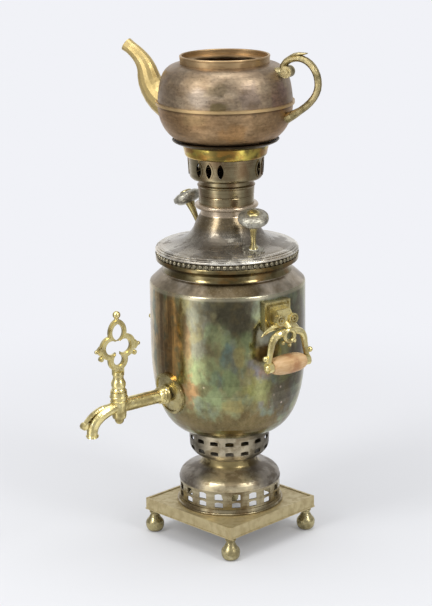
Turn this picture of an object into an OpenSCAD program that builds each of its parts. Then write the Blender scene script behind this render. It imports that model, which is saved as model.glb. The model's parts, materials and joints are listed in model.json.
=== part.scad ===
// Charcoal samovar with a teapot on its crown.
// Origin: middle of the square base, on the plane that the ball feet stand on.
// +Z is up, +X points to one carrying handle and -Y to the tap.

/* [Sheet and fits] */
// Thickness of the spun sheets
sheet = 1.2; // [0.9:0.1:1.6]
// Gap between soldered faces that are curved
solder_gap = 0.05; // [0.02:0.01:0.1]
// Clearance around pieces that lift out
lift_gap = 0.4; // [0.3:0.05:0.6]
// Clearance of the ground plug in the tap barrel
plug_gap = 0.05; // [0.03:0.01:0.08]
// Radial clearance of a wooden grip on its rod
rod_gap = 0.08; // [0.05:0.01:0.1]

/* [Feet and plate] */
// Largest radius of a ball foot
foot_r = 9.4; // [7.5:0.1:10]
// Height of the ball feet, floor to plate
foot_h = 23.5; // [22:0.5:30]
// Distance between neighbouring feet
foot_pitch = 110; // [106:1:111]
// Radius of the stud on a foot
stud_r = 2.5; // [2:0.1:3]
// Side of the square plate
plate_side = 123.5; // [120:0.5:130]
// Height of the plate's rim
plate_h = 12.2; // [8.5:0.1:13]
// Thickness of the plate's top and sides
plate_wall = 2.2; // [1.8:0.1:2.6]
// Width of the raised border on the plate
border_w = 3; // [2:0.1:4]
// Radius of the ash and air hole in the plate
ash_hole_r = 44; // [40:0.5:46]
// Turn of the base about the vertical, in degrees
base_turn = 7; // [0:1:10]

/* [Pedestal] */
// Outer radius of the ring on the plate
base_ring_r = 53.5; // [53:0.1:56]
// Height of the ring on the plate
base_ring_h = 5.2; // [4:0.1:6]
// Outer radius of the lower gallery
low_r = 51; // [49:0.1:51.5]
// Height of the lower gallery
low_h = 19; // [18:0.5:22]
// Height of the dome and its neck
dome_h = 24; // [23:0.5:30]
// Outer radius of the neck under the urn
neck_r = 27.5; // [25:0.5:30]
// Outer radius of the upper gallery at its top
cup_r = 41; // [40:0.5:42]
// Height of the upper gallery
cup_h = 29.5; // [25:0.5:31]

/* [Windows] */
// Columns of windows in the lower gallery
low_count = 18; // [12:1:20]
// Width of a lower window
low_win_w = 8.6; // [6:0.1:9.5]
// Height of a lower window
low_win_h = 6; // [5:0.1:6.5]
// Columns of windows in the upper gallery
cup_count = 16; // [12:1:18]
// Width of an upper window
cup_win_w = 8.4; // [5:0.1:9]
// Height of an upper window
cup_win_h = 4.4; // [3:0.1:5]

/* [Urn] */
// Outer radius of the urn
body_r = 77.6; // [74:0.2:80]
// Height of the urn, gallery to throat
body_h = 166; // [160:0.5:180]
// Height above which the wall is straight
belly_h = 92; // [85:1:105]
// Height of the shoulder above the straight wall
shoulder_h = 13.5; // [12:0.5:18]
// Outer radius of the shoulder's upper edge
throat_r = 65; // [63:0.2:66]
// Height of the concave throat
throat_h = 11; // [10:0.5:13]
// Outer radius of the plain band over the throat
band_r = 70.8; // [70:0.1:72]
// Height of the plain band
band_h = 4.2; // [3.5:0.1:5]
// Number of beads
bead_count = 72; // [60:1:80]
// Radius of a bead
bead_r = 2.45; // [2.2:0.05:2.7]

/* [Fire] */
// Outer radius of the firebox
firebox_r = 34; // [32:0.5:36]
// Height of the straight firebox
firebox_h = 50; // [40:1:60]
// Height of the cone over the firebox
fire_cone_h = 42; // [35:1:50]
// Outer radius of the chimney
chimney_r = 23; // [22:0.1:23.3]
// Thickness of the grate
grate_t = 3; // [2.5:0.1:4]
// Radius of a hole in the grate
grate_hole_r = 2.6; // [2:0.1:3]

/* [Lid] */
// Outer radius of the lid's rim
lid_r = 71.3; // [71:0.1:73]
// Height of the lid's rim
lid_rim_h = 5.3; // [5:0.1:8]
// Height of the lid, rim to neck top
lid_h = 37.2; // [34:0.1:40]
// Outer radius of the lid's neck
lid_neck_r = 25.4; // [25.2:0.1:26]
// Distance of a knob from the axis
knob_reach = 51; // [48:0.5:53]
// Direction of the front knob, in degrees
knob_turn = -8; // [-12:1:0]
// Lean of a knob's foot, in degrees
knob_lean = 13; // [8:1:15]
// Lean of the front knob's stem, which is a little bent, in degrees
front_lean = 19.5; // [10:0.5:25]
// Lean of the back knob's stem, in degrees
back_lean = 26; // [10:0.5:30]
// Radius of a knob's cap
knob_r = 15; // [13:0.5:16]
// Height of a knob over the lid
knob_h = 44.5; // [34:0.5:46]

/* [Crown] */
// Outer radius of the crown's rolled ring
roll_r = 31.5; // [30:0.1:33]
// Height of the rolled ring
roll_h = 4.6; // [4:0.1:6]
// Outer radius of the crown's sleeve
sleeve_r = 27.2; // [26:0.1:29]
// Height of the sleeve over the ring
sleeve_h = 21; // [18:0.5:24]
// Outer radius at the foot of the pierced band
fret_r = 36; // [34:0.5:37]
// Height of the pierced band
fret_h = 22.8; // [20:0.2:24]
// Height of a lens-shaped slot
slot_h = 15; // [12:0.5:17]
// Width of a slot
slot_w = 6.4; // [4:0.2:7]
// Angle between neighbouring slots, in degrees
slot_pitch = 18.5; // [15:0.5:22]
// Height of the flared cup
flare_h = 11.8; // [11:0.1:15]
// Outer radius of the flared cup at its top
flare_r = 42.3; // [40:0.1:44]
// Outer radius of the tray
tray_r = 52.5; // [50.5:0.1:54]

/* [Teapot] */
// Outer radius of the teapot at its seam
pot_r = 65.8; // [63:0.1:67]
// Height of the lower shell
pot_low_h = 39.6; // [38:0.2:46]
// Height of the upper shell
pot_up_h = 37.8; // [35:0.1:40]
// Outer radius of the flange at the seam
seam_r = 67.6; // [66:0.1:69]
// Outer radius of the mouth's collar
collar_r = 43.9; // [43:0.1:46]
// Height of the collar
collar_h = 7.8; // [7:0.1:13]
// Radius of the mouth
mouth_r = 33; // [30:0.5:35]
// Direction of the teapot's handle, in degrees
pot_turn = 26; // [0:1:60]
// Reach of the spout's tip from the pot's axis
spout_reach = 108; // [98:1:112]
// Height of the spout's tip over the seam
spout_rise = 50.6; // [46:0.2:56]
// Outer radius at the spout's root
spout_root_r = 14; // [12:0.5:15]
// Outer radius at the spout's tip
spout_tip_r = 6.3; // [5.5:0.1:7]
// Thickness of the spout's wall
spout_wall = 1.6; // [1.2:0.1:2]
// Radius of a strainer hole
strainer_r = 1.6; // [1.2:0.1:2]
// Reach of the pot's handle from the axis
grab_reach = 98; // [92:1:106]
// Half width of the handle's bar
grab_w = 4; // [3:0.1:5]

/* [Tap] */
// Height of the tap's pipe over the urn's foot
tap_rise = 50.1; // [46:0.1:60]
// Distance of the valve from the urn's axis
tap_reach = 135; // [130:1:140]
// Outer radius of the pipe
pipe_r = 7; // [6.5:0.1:7.6]
// Radius of the water way
bore_r = 3.2; // [2.5:0.1:3.5]
// Radius of the saddle flange
saddle_r = 21; // [19:0.5:23]
// Thickness of the saddle flange
saddle_t = 2.4; // [1.8:0.1:3]
// Outer radius of the valve barrel
barrel_r = 8.2; // [7.8:0.1:8.8]
// Height of the barrel over the pipe's axis
barrel_up = 14.8; // [13:0.2:17]
// Depth of the barrel under the pipe's axis
barrel_down = 12.3; // [11:0.1:14]
// Radius of the plug at the barrel's top
plug_top_r = 5.8; // [5.5:0.1:6.1]
// Radius of the plug at the barrel's foot
plug_foot_r = 4.6; // [4.3:0.1:4.9]
// Reach of the outlet from the valve
outlet_reach = 32; // [29:0.5:35]
// Drop of the outlet's mouth under the pipe's axis
outlet_drop = 25.5; // [23:0.5:28]
// Radius of the outlet's opening
outlet_r = 4.2; // [3.8:0.1:4.6]
// Thickness of the openwork key
key_t = 4.6; // [4:0.1:6]

/* [Carrying handles] */
// Height of the bracket's middle over the urn's foot
bracket_rise = 134.6; // [130:0.1:142]
// Width of the bracket
bracket_w = 31; // [28:0.5:34]
// Height of the bracket
bracket_h = 28.5; // [26:0.5:32]
// Distance of the grip from the urn's axis
grip_reach = 97.5; // [96:0.5:102]
// Drop of the grip under the bracket's middle
grip_drop = 45; // [43:0.5:48]
// Turn of the two handles about the vertical, in degrees
handle_turn = -2; // [-5:0.5:5]
// Length of a wooden grip
grip_len = 39; // [36:0.5:42]
// Largest radius of a wooden grip
grip_r = 9.7; // [8.5:0.1:10.5]
// Radius of the rod in the grip
rod_r = 1.8; // [1.5:0.1:2.2]

/* [Hidden] */
$fn = 96;
eps = 0.01;
round_fn = 48;

// Levels, each standing on the one before
plate_top = foot_h + plate_h;
low_z = plate_top + base_ring_h;
dome_z = low_z + low_h;
cup_z = dome_z + dome_h;
body_z = cup_z + cup_h;
throat_z = body_z + body_h;
band_z = throat_z + throat_h - 1;
bead_z = band_z + band_h + bead_r + 0.1;
lid_z = bead_z + bead_r + lift_gap;
lid_top = lid_z + lid_rim_h + lid_h;
crown_z = lid_top;
sleeve_z = crown_z + roll_h / 2;
fret_z = sleeve_z + sleeve_h + 5.4;
flare_z = fret_z + fret_h;
tray_z = flare_z + flare_h;
pot_z = tray_z + sheet;
seam_z = pot_z + pot_low_h;
collar_z = seam_z + pot_up_h;
tap_z = body_z + tap_rise;
bracket_z = body_z + bracket_rise;
grip_z = bracket_z - grip_drop;

// ---- Helpers ----

// Points of a cubic curve after its start a, ending at d
function curve(a, b, c, d, n = 8) = [for (i = [1 : n]) let (t = i / n, s = 1 - t)
    s * s * s * a + 3 * s * s * t * b + 3 * s * t * t * c + t * t * t * d];

function unit(v) = v / norm(v);
function reversed(l) = [for (i = [len(l) - 1 : -1 : 0]) l[i]];
function normal_of(a, b) = let (d = unit(b - a)) [-d[1], d[0]];

// An outline moved to its left by t, at one thickness
function moved(pts, t) = let (n = len(pts) - 1) [for (i = [0 : n])
    let (p = normal_of(pts[max(i - 1, 0)], pts[max(i, 1)]),
         q = normal_of(pts[min(i, n - 1)], pts[min(i + 1, n)]))
    pts[i] + t * (p + q) / (1 + p * q)];

// A sheet of thickness t spun along an outer outline that runs upwards
module spun(pts, t = sheet) rotate_extrude()
    polygon(concat(pts, reversed(moved(pts, t))));

// A solid of revolution filled up to the axis
module turned(pts) rotate_extrude()
    polygon(concat([[0, pts[0][1]]], pts, [[0, pts[len(pts) - 1][1]]]));

// A plain ring
module washer(r_out, r_in, z0, z1) rotate_extrude()
    translate([r_in, z0]) square([r_out - r_in, z1 - z0]);

// Copies about the vertical axis
module around(n, start = 0) for (i = [0 : n - 1]) rotate(start + 360 * i / n) children();

// Directions along a path
function headings(path) = let (n = len(path) - 1) [for (i = [0 : n])
    unit(path[min(i + 1, n)] - path[max(i - 1, 0)])];

// One ring of a sweep: an ellipse around p, square to d, with b as its flat side
function hoop(p, d, b, rn, rb, n) = let (u = cross(b, d)) [for (k = [0 : n - 1])
    p + rn * cos(360 * k / n) * u + rb * sin(360 * k / n) * b];

// Triangles between rings i and j of n points each
function band_faces(i, j, n) = [for (k = [0 : n - 1]) let (m = (k + 1) % n)
    each [[i * n + k, j * n + k, j * n + m], [i * n + k, j * n + m, i * n + m]]];

// A closed bar along a path in the plane square to b; radii in and across the plane
module bar(path, rn, rb, b, n = 10) {
    m = len(path) - 1;
    d = headings(path);
    pts = [for (i = [0 : m]) each hoop(path[i], d[i], b, rn[i], rb[i], n)];
    faces = concat([[for (k = [0 : n - 1]) k]], [[for (k = [n - 1 : -1 : 0]) m * n + k]],
        [for (i = [0 : m - 1]) each band_faces(i, i + 1, n)]);
    polyhedron(pts, faces);
}

// A list of k + 1 values running smoothly from a over b to c
function ramp(a, b, c, k) = [for (i = [0 : k]) let (t = i / k, s = 1 - t)
    s * s * a + 2 * s * t * b + t * t * c];

// A pointed oval of height h and width w, standing along Y
module lens(h, w) {
    r = (h * h / 4 + w * w / 4) / w;
    intersection() {
        translate([r - w / 2, 0]) circle(r);
        translate([w / 2 - r, 0]) circle(r);
    }
}

// ---- Base ----

module base_plate() color("#9a8a4f") rotate(base_turn) difference() {
    top_wall = plate_wall;
    lip = 0.6;
    step = 0.8;
    panel = plate_side - 2 * border_w;
    hollow = plate_side - 2 * plate_wall - 2 * lip;
    boss_r = foot_r - 3;
    union() {
        difference() {
            union() {
                centred_box(plate_side, foot_h, foot_h + 2 * lip);
                centred_box(plate_side - 2 * lip, foot_h, plate_top);
            }
            centred_box(panel, plate_top - step, plate_top + eps);
            centred_box(hollow, foot_h - eps, plate_top - step - top_wall);
        }
        translate([0, 0, plate_top - step - eps]) cylinder(r = base_ring_r + 1, h = step + eps);
        for (x = [-1, 1], y = [-1, 1]) translate([x, y, 0] * foot_pitch / 2 + [0, 0, foot_h])
            cylinder(r = boss_r, h = plate_h - step - top_wall / 2, $fn = round_fn);
    }
    translate([0, 0, foot_h]) cylinder(r = ash_hole_r, h = plate_h + 1);
    for (x = [-1, 1], y = [-1, 1]) translate([x, y, 0] * foot_pitch / 2 + [0, 0, foot_h - 1])
        cylinder(r = stud_r + solder_gap, h = plate_h - 2, $fn = round_fn);
}

module centred_box(side, z0, z1)
    translate([-side / 2, -side / 2, z0]) cube([side, side, z1 - z0]);

// Outline of a ball foot: flattened ball, bell, neck and ring
function foot_outline() = let (r = foot_r, ball = foot_h * 0.35, bell = foot_h * 0.7,
        neck = foot_r * 0.45, ring = foot_h * 0.84) concat(
    [[r * 0.45, 0]],
    curve([r * 0.45, 0], [r * 0.86, 0.2], [r, ball * 0.5], [r, ball]),
    curve([r, ball], [r, ball * 1.5], [r * 0.72, bell * 0.76], [r * 0.55, bell]),
    curve([r * 0.55, bell], [r * 0.48, bell * 1.06], [neck, bell * 1.1], [neck, ring - 0.4]),
    ring_bulge(neck + 0.3, ring, 1, foot_h * 0.11),
    [[neck + 0.4, foot_h]]);

module foot(i) color("#b59b50") rotate(base_turn + 90 * i - 45)
    translate([foot_pitch / sqrt(2), 0, 0]) {
        turned(foot_outline());
        translate([0, 0, foot_h - 1]) cylinder(r = stud_r, h = plate_h - 2.4, $fn = round_fn);
    }

// ---- Pedestal ----

module base_ring() color("#8f8150") rotate_extrude() polygon(concat(
    [[ash_hole_r, plate_top], [base_ring_r, plate_top]],
    curve([base_ring_r, plate_top], [base_ring_r + 0.7, plate_top + 0.6],
        [base_ring_r + 0.7, plate_top + 1.6], [base_ring_r - 0.4, plate_top + 2.1]),
    [[base_ring_r - 1, plate_top + 2.3], [low_r + 1, low_z - 1.2], [low_r + 0.8, low_z],
     [low_r - sheet - 0.8, low_z], [low_r - sheet - 0.8, plate_top + sheet],
     [ash_hole_r, plate_top + sheet]]));

// A window with an arched top, cut outwards from radius r
module window(w, h, r, z) {
    arch = h * 0.18;
    rise = (w * w / 4 + arch * arch) / (2 * arch);
    rotate([90, 0, 90]) translate([0, z, r - 4]) linear_extrude(8) intersection() {
        translate([-w / 2, -h / 2]) square([w, h]);
        translate([0, h / 2 - rise]) circle(rise);
    }
}

module lower_gallery() color("#7d7048") difference() {
    bar_h = (low_h - 2 * low_win_h) / 3;
    more = 0.6;
    washer(low_r, low_r - sheet, low_z, dome_z);
    around(low_count, base_turn - 48 + 180 / low_count) {
        window(low_win_w, low_win_h - more, low_r, low_z + bar_h + (low_win_h - more) / 2);
        window(low_win_w, low_win_h + more, low_r, dome_z - bar_h - (low_win_h + more) / 2);
    }
}

// Outer outline of the dome and neck
function dome_outline() = let (crest = [low_r * 0.78, dome_z + dome_h * 0.51]) concat(
    [[low_r, dome_z], [low_r, dome_z + 1.4]],
    curve([low_r, dome_z + 1.4], [low_r, dome_z + 6.8], [low_r - 3.4, dome_z + 10], crest),
    curve(crest, [neck_r + 5.5, crest[1] + 2.4], [neck_r + 1, crest[1] + 3.4], [neck_r, crest[1] + 7.8]),
    [[neck_r, cup_z]]);

module pedestal_dome() color("#7c7366") {
    spun(dome_outline());
    washer(low_r + 0.5, low_r - sheet, dome_z, dome_z + 1.3);
}

// Outer outline of the pierced cup
function cup_outline() = concat([[neck_r - 1.2, cup_z], [neck_r + 0.4, cup_z], [neck_r + 6.4, cup_z + 3.2]],
    curve([neck_r + 6.4, cup_z + 3.2], [cup_r - 3, cup_z + 6.2], [cup_r - 1.2, cup_z + 9],
        [cup_r - 0.8, cup_z + 13], 6),
    [[cup_r, body_z - 1.2], [cup_r, body_z]]);

module upper_gallery() color("#86764a") difference() {
    union() {
        spun(cup_outline());
        washer(cup_r + 0.7, cup_r - sheet, body_z - 1.6, body_z);
    }
    around(cup_count, base_turn - 45) {
        window(cup_win_w, cup_win_h, cup_r, body_z - 17.6);
        window(cup_win_w, cup_win_h, cup_r, body_z - 6.8);
    }
}

// ---- Urn ----

// Outer outline of the urn, foot to shoulder
function urn_outline() = let (wall = body_z + body_h - shoulder_h) concat(
    [[cup_r, body_z]],
    curve([cup_r, body_z], [cup_r + 19, body_z + 4.1], [body_r, body_z + belly_h * 0.25],
        [body_r, body_z + belly_h], 14),
    [[body_r, wall]],
    curve([body_r, wall], [body_r, wall + 1.3], [body_r - 0.5, wall + 2.2], [body_r - 1.5, wall + 3.1], 4),
    [[throat_r + 2, throat_z - 2], [throat_r, throat_z - 0.6], [throat_r, throat_z]]);

module urn_solid(grow) turned(moved(urn_outline(), -grow));

module body_shell() color("#6e6440") difference() {
    spun(urn_outline());
    translate([0, 0, tap_z]) rotate([90, 0, 0])
        cylinder(r = stub_r + solder_gap, h = body_r + 10, $fn = round_fn);
}

module body_bottom() color("#6e6440") {
    rim = cup_r - sheet - 0.2;
    rotate_extrude() polygon([
        [firebox_r + solder_gap, body_z - sheet], [rim, body_z - sheet],
        [rim, body_z], [firebox_r + solder_gap, body_z]]);
}

seat_r = throat_r + sheet;

// Outline of the throat: concave, then out to the plain band
function throat_outline() = concat([[throat_r, throat_z], [throat_r, throat_z + 0.5]],
    curve([throat_r, throat_z + 0.5], [throat_r - 2.4, throat_z + throat_h * 0.4],
        [throat_r - 1.4, throat_z + throat_h * 0.72], [band_r - 2.4, band_z]),
    [[band_r - 1.2, band_z]]);

module throat_ring() color("#a98a3d") {
    spun(throat_outline());
    rotate_extrude() polygon([[throat_r, band_z + sheet], [throat_r, lid_z], [seat_r, lid_z],
        [seat_r, band_z + band_h], [band_r - 0.6, band_z + band_h], [band_r, band_z + band_h - 0.8],
        [band_r, band_z + 0.8], [band_r - 0.6, band_z], [band_r - 2.4, band_z],
        [band_r - 3, band_z + sheet]]);
}

module bead_ring() color("#a8a08a") {
    wire_r = band_r - 2;
    washer(wire_r - 0.4, seat_r + solder_gap, band_z + band_h, bead_z + bead_r / 2);
    around(bead_count) translate([wire_r, 0, bead_z]) sphere(bead_r, $fn = 24);
}

// ---- Fire ----

module fire_tube() color("#5d5540") {
    ledge = 3;
    top = crown_z + roll_h + 6;
    cone_z = body_z + firebox_h;
    spun([[firebox_r, body_z - sheet], [firebox_r, cone_z],
        [chimney_r, cone_z + fire_cone_h], [chimney_r, top]]);
    washer(firebox_r - sheet / 2, firebox_r - sheet - ledge, body_z - sheet, body_z);
}

module fire_grate() color("#3c3833") difference() {
    grate_r = firebox_r - sheet - lift_gap;
    translate([0, 0, body_z]) cylinder(r = grate_r, h = grate_t);
    for (ring = [1, 2, 3]) around(6 * ring) translate([ring * grate_r / 3.7, 0, body_z - 1])
        cylinder(r = grate_hole_r, h = grate_t + 2, $fn = 24);
    translate([0, 0, body_z - 1]) cylinder(r = grate_hole_r, h = grate_t + 2, $fn = 24);
}

// ---- Tap ----

stub_r = pipe_r - 1.4;

// Radius of the urn's outer face at height z
function wall_at(z) = lookup(z, [for (p = urn_outline()) [p[1], p[0]]]);

wall_out = wall_at(tap_z);

module tap_flange() color("#b7a25c") {
    rim = 2.4;
    difference() {
        union() {
            intersection() {
                urn_solid(saddle_t);
                tap_disc(saddle_r);
            }
            intersection() {
                urn_solid(saddle_t + 1);
                difference() {
                    tap_disc(saddle_r);
                    tap_disc(saddle_r - rim);
                }
            }
        }
        urn_solid(solder_gap);
        tap_disc(pipe_r + solder_gap);
    }
}

module tap_disc(r) translate([0, 0, tap_z]) rotate([90, 0, 0])
    translate([0, 0, wall_out / 2]) cylinder(r = r, h = wall_out, $fn = 64);

// Outline of the barrel, from its foot up, with two rings near the top
function barrel_outline() = let (z0 = tap_z - barrel_down, z1 = tap_z + barrel_up, r = barrel_r) concat(
    [[plug_foot_r + 1.4, z0]],
    curve([plug_foot_r + 1.4, z0], [r - 1.4, z0 + 0.4], [r - 1.2, z0 + 2], [r - 1.1, z0 + 4]),
    [[r - 0.6, tap_z], [r - 0.3, z1 - 11]],
    ring_bulge(r - 0.3, z1 - 10.4, 0.9, 1.8), ring_bulge(r, z1 - 6, 0.8, 2),
    [[r, z1 - 3], [r, z1]]);

// A half-round ring on an outline
function ring_bulge(r, z, out, h) = [for (a = [-90 : 30 : 90]) [r + out * cos(a), z + h * (1 + sin(a)) / 2]];

module tap_body() color("#b7a25c") difference() {
    outlet_y = -tap_reach - outlet_reach;
    outlet_z = tap_z - outlet_drop;
    mouth_h = 7;
    knee = 8;
    nose = [for (p = concat([[1, 0]], curve([1, 0], [14, -0.5], [outlet_reach - 0.5, -7],
        [outlet_reach, mouth_h - outlet_drop], 12))) [0, -tap_reach - p[0], tap_z + p[1]]];
    union() {
        translate([0, -tap_reach, 0]) turned(barrel_outline());
        translate([0, 0, tap_z]) rotate([90, 0, 0]) turned(pipe_outline());
        bar(nose, ramp(5.4, 6.6, 5.7, 12), ramp(5.4, 6.4, 5.7, 12), [1, 0, 0], 16);
        translate([0, outlet_y, outlet_z]) turned(concat(
            [[outlet_r + 0.5, 0], [outlet_r + 1.6, 0.6]], ring_bulge(outlet_r + 1.2, 1.2, 0.9, 2),
            [[outlet_r + 1.1, mouth_h + 1], [outlet_r, mouth_h + 2]]));
        nose_leaf();
    }
    translate([0, -tap_reach, 0]) plug_solid(plug_gap);
    translate([0, -stub_in + 1, tap_z]) rotate([90, 0, 0])
        cylinder(r = bore_r, h = tap_reach - stub_in, $fn = round_fn);
    translate([0, -tap_reach, tap_z]) rotate([90 + atan(knee / outlet_reach), 0, 0])
        cylinder(r = bore_r - 0.4, h = norm([knee, outlet_reach]), $fn = round_fn);
    translate([0, outlet_y, outlet_z - 1]) {
        cylinder(r = bore_r, h = outlet_drop + 1 - knee, $fn = round_fn);
        cylinder(r = outlet_r, h = mouth_h, $fn = round_fn);
    }
}

stub_in = wall_out - 5.2;
saddle_out = wall_at(tap_z + pipe_r + 1.8) + saddle_t + 3 * solder_gap;

// Outline of the pipe along its axis: stub in the wall, rings on the saddle, pipe
function pipe_outline() = concat([[stub_r, stub_in], [stub_r, saddle_out], [pipe_r + 1.8, saddle_out]],
    ring_bulge(pipe_r + 1.8, saddle_out + 0.6, 1, 3), ring_bulge(pipe_r + 1, saddle_out + 4.4, 0.8, 2.2),
    ring_bulge(pipe_r + 0.2, saddle_out + 8, 1, 2), [[pipe_r, saddle_out + 11], [pipe_r, tap_reach - 3]]);

// The small leaf that curls off the nose of the spout
module nose_leaf() {
    tip = [0, -tap_reach - outlet_reach - 8.5, tap_z - 10.5];
    root = [0, -tap_reach - 15, tap_z + 3];
    bar([for (p = concat([root], curve(root, root + [0, -9, 0.5], tip + [0, 2.5, 5.5], tip, 6))) p],
        ramp(1.6, 1.8, 1.2, 6), ramp(2.4, 4, 2.6, 6), [1, 0, 0], 8);
    translate(tip + [-2.2, -0.6, -1.2]) rotate([0, 90, 0]) cylinder(r = 3.6, h = 4.4, $fn = 24);
}

// The tapered plug, grown by a clearance
module plug_solid(grow) {
    z0 = tap_z - barrel_down;
    z1 = tap_z + barrel_up;
    rotate_extrude($fn = round_fn) polygon([[0, z0 - 1], [plug_foot_r + grow, z0 - 1],
        [plug_foot_r + grow, z0], [plug_top_r + grow, z1], [plug_top_r + grow, z1 + 1], [0, z1 + 1]]);
}

// Outline of the key's stem over the barrel: base ring, leafy bulge and neck
function stem_outline() = let (z = tap_z + barrel_up + 0.1) concat(
    [[plug_top_r, z], [barrel_r - 0.6, z]], ring_bulge(barrel_r - 1.2, z + 0.2, 0.9, 2),
    curve([barrel_r - 1.6, z + 2.6], [barrel_r - 2.4, z + 4], [barrel_r - 0.6, z + 5.5],
        [barrel_r - 1, z + 8.6], 6),
    curve([barrel_r - 1, z + 8.6], [barrel_r - 1.3, z + 11], [barrel_r - 3.4, z + 12.4],
        [barrel_r - 3, z + 15], 6),
    [[barrel_r - 2.2, z + 17.4], [barrel_r - 3, z + 20]]);

module tap_key() color("#b7a25c") difference() {
    tip_z = tap_z - barrel_down - 6.2;
    union() {
        translate([0, -tap_reach, 0]) {
            turned(stem_outline());
            plug_solid(0);
            rotate_extrude($fn = round_fn) polygon(concat([[0, tip_z]],
                curve([0, tip_z], [plug_foot_r * 0.6, tip_z], [plug_foot_r, tip_z + 2.6],
                    [plug_foot_r, tip_z + 4.4]), [[plug_foot_r, tip_z + 5.8], [0, tip_z + 5.8]]));
        }
        key_openwork();
    }
    translate([-10, -tap_reach, tap_z]) rotate([0, 90, 0]) cylinder(r = bore_r, h = 20, $fn = round_fn);
}

// The openwork of the key: a trefoil frame with an ogee top, side finials and a ball
key_low = tap_z + barrel_up + 18.6;
top_lobe = [15.6, 41];
side_lobe = [7.2, 26.6];
foot_lobe = [0, 13.6];

module key_frame(e) difference() {
    union() {
        translate([0, top_lobe[1]]) lens(2 * (13.6 - e), 2 * (10.3 - e));
        for (s = [-1, 1]) translate([s * (side_lobe[0] + 1.4), side_lobe[1]]) circle(11.8 - e);
        translate(foot_lobe) circle(11.2 - e);
        for (s = [-1, 1]) translate([s * 25 - s * 4.6, side_lobe[1] - 1]) rotate(45)
            square(2 * (3.4 - e), center = true);
        for (s = [-1, 1]) translate([s * 19.2, side_lobe[1] - 9]) circle(2.6 - e);
        translate([-6.4 + e, -1]) square([12.8 - 2 * e, 10]);
    }
    translate([0, top_lobe[1]]) lens(2 * (8.2 + e), 2 * (6.2 + e));
    for (s = [-1, 1]) translate([s * side_lobe[0], side_lobe[1]]) circle(6.9 + e);
    translate(foot_lobe) circle(5.4 + e);
    translate([-2.8 - e, foot_lobe[1]]) square([5.6 + 2 * e, 19]);
}

module key_openwork() translate([0, -tap_reach, key_low]) rotate([90, 0, 90]) {
    soft = 0.9;
    for (layer = [[soft, key_t], [0, key_t - 2 * soft]])
        translate([0, 0, -layer[1] / 2]) linear_extrude(layer[1]) key_frame(layer[0]);
    translate([0, top_lobe[1] + 17.2, 0]) sphere(3.8, $fn = 32);
    translate([0, top_lobe[1] + 13, 0]) sphere(2.2, $fn = 24);
    for (s = [-1, 1]) translate([s * 24.4, side_lobe[1] - 1, 0]) sphere(2, $fn = 24);
}

// ---- Carrying handles ----

module sided(right) rotate(handle_turn) mirror([right ? 0 : 1, 0, 0]) children();

lug_gap = 0.6;
lug_t = 5;
bracket_out = body_r + 3;
block_out = bracket_out + 7.6;

module handle_plate(right) color("#a8986a") sided(right) difference() {
    union() {
        slab(bracket_w, bracket_h, bracket_out);
        difference() {
            slab(bracket_w, bracket_h, bracket_out + 1.2);
            slab(bracket_w - 4, bracket_h - 4, bracket_out + 2);
        }
        slab(bracket_w * 0.72, bracket_h * 0.74, bracket_out + 3.8);
        slab(bracket_w * 0.55, bracket_h * 0.58, block_out);
    }
    translate([0, 0, bracket_z - bracket_h]) cylinder(r = body_r + solder_gap, h = 2 * bracket_h);
}

// A block on the wall, w wide and h high, out to x
module slab(w, h, x) translate([body_r - 4, -w / 2, bracket_z - h / 2]) cube([x - body_r + 4, w, h]);

module handle_arm(right) color("#b3a468") sided(right) {
    eye_z = bracket_z - 1;
    ring_z = bracket_z - 16;
    ring_out = grip_reach + 3;
    lug_in = grip_len / 2 + lug_gap;
    lug_r = 5.4;
    cheek();
    for (s = [-1, 1]) {
        scroll_eye([block_out + 4, s * 7.6, eye_z]);
        arm_path = let (a = [grip_reach + 1, s * 4.5, ring_z + 4], c = [grip_reach, s * 20.6, ring_z - 11])
            concat([a], curve(a, [grip_reach + 2, s * 13, ring_z + 3], [grip_reach, s * 19.4, ring_z + 1], c, 8),
            [[grip_reach, s * (lug_in + 3.1), grip_z + lug_r - 1]]);
        bar(arm_path, ramp(3.2, 4.2, 2.8, 9), ramp(3.4, 4.4, 2.8, 9), [1, 0, 0]);
        difference() {
            translate([grip_reach, s * lug_in, grip_z]) rotate([-90 * s, 0, 0])
                cylinder(r = lug_r, h = lug_t, $fn = round_fn);
            rod_hole();
        }
        translate([grip_reach, s * (lug_in + 7), grip_z + 9.5]) sphere(2.8, $fn = 24);
        translate([grip_reach, s * (lug_in + 2), grip_z + 8]) rotate([-65 * s, 0, 0])
            cylinder(r1 = 2.4, r2 = 1.3, h = 4.5, $fn = 24);
        bar(leaf_path(s), ramp(3.2, 3, 0.7, 6), ramp(1.6, 1.6, 0.5, 6), [1, 0, 0], 8);
        translate([ring_out - 1.5, s * 6.8, ring_z - 6.6]) sphere(2, $fn = 24);
    }
    translate([ring_out, 0, ring_z]) rotate([0, 90, 0]) rotate_extrude($fn = round_fn)
        translate([5.7, 0]) circle(2.1, $fn = 24);
    translate([ring_out - 0.5, 0, ring_z - 9.4]) sphere(2.1, $fn = 24);
    bar([[block_out + 6.3, 0, eye_z - 4], [ring_out - 2.5, 0, eye_z - 5.5], [ring_out, 0, ring_z + 7]],
        [3, 2.8, 2.4], [4.4, 4, 3], [0, 1, 0]);
}

// The little leaf beside the block, spreading to the side
function leaf_path(s) = let (a = [block_out + 2.6, s * 7, bracket_z - 8], d = [block_out - 1.5, s * 23.5, bracket_z - 17])
    concat([a], curve(a, a + [0, s * 6, -1], d + [0, -s * 5, 5], d, 6));

// The shaped block between bracket and scrolls
module cheek() translate([0, bracket_w * 0.26, 0]) rotate([90, 0, 0]) linear_extrude(bracket_w * 0.52)
    translate([block_out, bracket_z]) polygon(concat([[0, 8], [1.5, 8]],
        curve([1.5, 8], [5, 7.6], [4.8, 4], [7.6, 3]), [[7.6, -4.5], [5, -8.5], [0, -8.5]]));

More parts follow.
